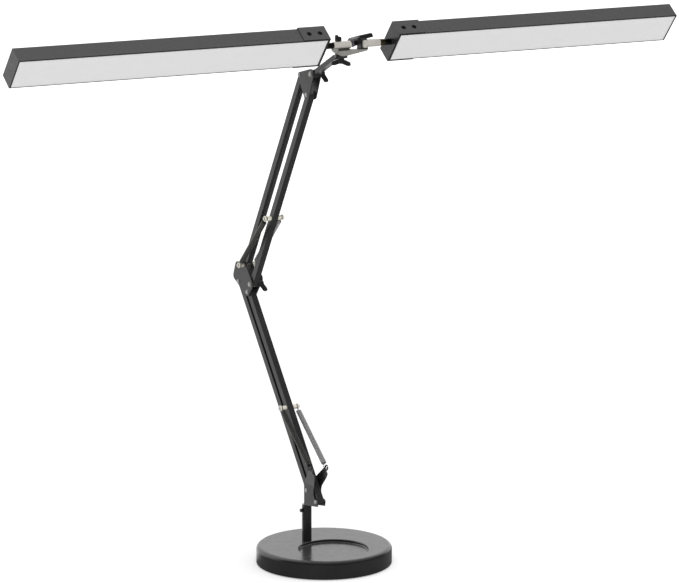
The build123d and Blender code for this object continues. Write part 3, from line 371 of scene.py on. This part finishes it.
# ================= springs =================
def tube(name, path, radius):
    """Round wire swept along a list of points."""
    vertices, faces = [], []
    normal = None
    for i, point in enumerate(path):
        ahead = path[min(i + 1, len(path) - 1)]
        behind = path[max(i - 1, 0)]
        tangent = (ahead - behind).normalized()
        if normal is None:
            normal = tangent.orthogonal().normalized()
        normal = (normal - tangent * normal.dot(tangent)).normalized()
        across = tangent.cross(normal)
        for k in range(WIRE_SIDES):
            angle = 2 * math.pi * k / WIRE_SIDES
            vertices.append(point + (normal * math.cos(angle) + across * math.sin(angle)) * radius)
    for i in range(len(path) - 1):
        for k in range(WIRE_SIDES):
            a = i * WIRE_SIDES + k
            b = i * WIRE_SIDES + (k + 1) % WIRE_SIDES
            faces.append((a, b, b + WIRE_SIDES, a + WIRE_SIDES))
    faces.append(tuple(reversed(range(WIRE_SIDES))))
    last = (len(path) - 1) * WIRE_SIDES
    faces.append(tuple(last + k for k in range(WIRE_SIDES)))
    mesh = bpy.data.meshes.new(name)
    mesh.from_pydata([tuple(v) for v in vertices], [], faces)
    mesh.update()
    for polygon in mesh.polygons:
        polygon.use_smooth = True
    piece = bpy.data.objects.new(name, mesh)
    scene.collection.objects.link(piece)
    return piece


def loop_points(centre, along, across, start):
    """An end loop round a hook or pin, from `start` degrees on."""
    for i in range(LOOP_STEPS + 1):
        angle = math.radians(start + LOOP_SWEEP * i / LOOP_STEPS)
        yield centre + (along * math.cos(angle) + across * math.sin(angle)) * LOOP


def coil_points(foot, along, across, reach):
    """The close coils of a spring of this reach, growing out of one stem and back into the other."""
    coiled = reach - 2 * HOOK_GAP
    steps = round(coiled / (2 * WIRE * COIL_PITCH)) * COIL_STEPS
    fade = COIL_FADE * COIL_STEPS
    for i in range(steps + 1):
        angle = 2 * math.pi * i / COIL_STEPS
        grown = min(1.0, i / fade, (steps - i) / fade)
        radius = SPRING_RADIUS * math.sin(grown * math.pi / 2)
        yield (foot + along * (HOOK_GAP + coiled * i / steps)
               + (SIDEWAYS * math.cos(angle) + across * math.sin(angle)) * radius)


def spring_path(foot, top, foot_on_pin):
    """The wire from the foot loop, round the close coils and up the stem to the top loop.

    A foot on a pin has a stem too; a foot in a horn's ring joins its first coil directly.
    """
    along = (top - foot).normalized()
    across = along.cross(SIDEWAYS).normalized()
    reach = (top - foot).length
    stem_end = HOOK_GAP - STEM_END
    if foot_on_pin:
        path = list(loop_points(foot, along, across, -LOOP_SWEEP))
        stem_start = (path[-1] - foot).dot(along)
        path += [foot + along * (stem_start + (stem_end - stem_start) * i / STEM_STEPS)
                 for i in range(1, STEM_STEPS + 1)]
    else:
        path = list(loop_points(foot + along * LOOP, along, SIDEWAYS, -LOOP_SWEEP))
    path += coil_points(foot, along, across, reach)
    path += [foot + along * (reach - stem_end + (stem_end - LOOP) * i / STEM_STEPS) for i in range(STEM_STEPS)]
    path += loop_points(top, along, across, 180.0)
    return path


for level, foot, top, on_pin in (
    ("lower", HORN_HOOK, LOWER_PIN, False),
    ("upper", ELBOW_PIN, UPPER_PIN, True),
):
    # The left springs take the darker copy of the steel, which is painted shade; the right ones keep the plain
    # steel.
    for side, hand, look in ((-1, "left", "spring_painted_shade"), (1, "right", "spring_steel")):
        offset = Vector((ARM_X + side * SPRING_OFFSET, 0, 0))
        wire = tube(f"{level}_spring_wire_{hand}", spring_path(foot + offset, top + offset, on_pin), WIRE)
        wire.data.materials.append(looks[look])
        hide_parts(f"{level}_springs", f"{level}_draw_hooks")
        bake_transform(wire)


# ================= stage, light and camera =================
def sheet(tree, direction, ends):
    """1 towards the white sheet behind the lamp, fading to 0 beside it."""
    towards = add_node(tree, "ShaderNodeVectorMath", operation="DOT_PRODUCT")
    towards.inputs[1].default_value = BEHIND
    tree.links.new(direction, towards.inputs[0])
    cosine = number(tree, "DIVIDE", towards.outputs["Value"], length(tree, direction))
    return spread(tree, cosine, *ends)


def seen(tree, direction, ends):
    """1 for camera rays, and for mirrored rays that run towards the white sheet; else 0."""
    rays = add_node(tree, "ShaderNodeLightPath").outputs
    mirrored = number(tree, "MAXIMUM", rays["Is Glossy Ray"], rays["Is Transmission Ray"])
    white = number(tree, "MULTIPLY", mirrored, sheet(tree, direction, ends))
    return number(tree, "MAXIMUM", rays["Is Camera Ray"], white)


def backdrop_material():
    """Pale floor; the camera sees it lifted to white, with the lamp's shadow kept."""
    s = Shader("studio_floor")
    pale = s.blend(s.spread(s.noise(3.0, 3.0), 0.3, 0.7), grey(0.80), grey(0.84))
    glossy = s.add("ShaderNodeLightPath").outputs["Is Glossy Ray"]
    in_front = number(s.tree, "SUBTRACT", glossy, sheet(s.tree, s.coords, FLOOR_EDGE))
    s.colour(s.blend(in_front, pale, grey(FLOOR)))
    s.set(Roughness=0.9, Specular_IOR_Level=0.1, Emission_Color=(1, 1, 1, 1))
    lift = s.spread(length(s.tree, s.coords), *LIFT_ENDS, *LIFT)
    s.link(s.times(lift, seen(s.tree, s.coords, FLOOR_EDGE)), s.bsdf.inputs["Emission Strength"])
    return s.material


corners = [(x * FLOOR_REACH, y * FLOOR_REACH, 0) for x, y in ((-1, -1), (1, -1), (1, 1), (-1, 1))]
floor_mesh = bpy.data.meshes.new("floor")
floor_mesh.from_pydata(corners, [], [(0, 1, 2, 3)])
floor = bpy.data.objects.new("floor", floor_mesh)
floor_mesh.materials.append(backdrop_material())
scene.collection.objects.link(floor)

world = bpy.data.worlds.new("studio")
scene.world = world
world.use_nodes = True
sky = world.node_tree
background = sky.nodes["Background"]
background.inputs["Color"].default_value = (1, 1, 1, 1)
sheet_seen = seen(sky, add_node(sky, "ShaderNodeTexCoord").outputs["Generated"], SHEET_EDGE)
glossy = add_node(sky, "ShaderNodeLightPath").outputs["Is Glossy Ray"]
room = number(sky, "SUBTRACT", FILL, number(sky, "MULTIPLY", glossy, FILL - ROOM))
strength = number(sky, "MAXIMUM", sheet_seen, room)
sky.links.new(strength, background.inputs["Strength"])


def area_light(name, place, target, size, power):
    """A soft rectangular lamp that glossy faces don't mirror; they mirror the sheet and the room only."""
    data = bpy.data.lights.new(name, "AREA")
    data.shape = "RECTANGLE"
    data.size, data.size_y = size
    data.energy = power
    lamp = bpy.data.objects.new(name, data)
    lamp.location = place
    lamp.rotation_euler = (Vector(target) - Vector(place)).to_track_quat("-Z", "Y").to_euler()
    lamp.visible_glossy = False
    scene.collection.objects.link(lamp)


area_light("key", place=(-1.6, -2.6, 2.6), target=(0.0, 0.0, 0.4), size=(1.6, 1.6), power=46)
area_light("top", place=(0.0, -0.2, 3.0), target=(0.0, 0.0, 0.0), size=(2.4, 2.4), power=7)
area_light("side", place=(2.7, -1.1, 1.3), target=(0.0, 0.0, 0.4), size=(0.8, 1.8), power=16)

ahead = Vector((math.sin(TURN) * math.cos(PITCH), math.cos(TURN) * math.cos(PITCH), -math.sin(PITCH)))
right = Vector((math.cos(TURN), -math.sin(TURN), 0))
up = right.cross(ahead)
lens = bpy.data.cameras.new("camera")
lens.sensor_width = SENSOR
lens.sensor_fit = "HORIZONTAL"
lens.lens = FOCAL_PIXELS / PHOTO_WIDTH * SENSOR
camera = bpy.data.objects.new("camera", lens)
camera.matrix_world = Matrix.Translation(EYE) @ Matrix((right, up, -ahead)).transposed().to_4x4()
scene.collection.objects.link(camera)
scene.camera = camera
scene.view_settings.view_transform = "Standard"
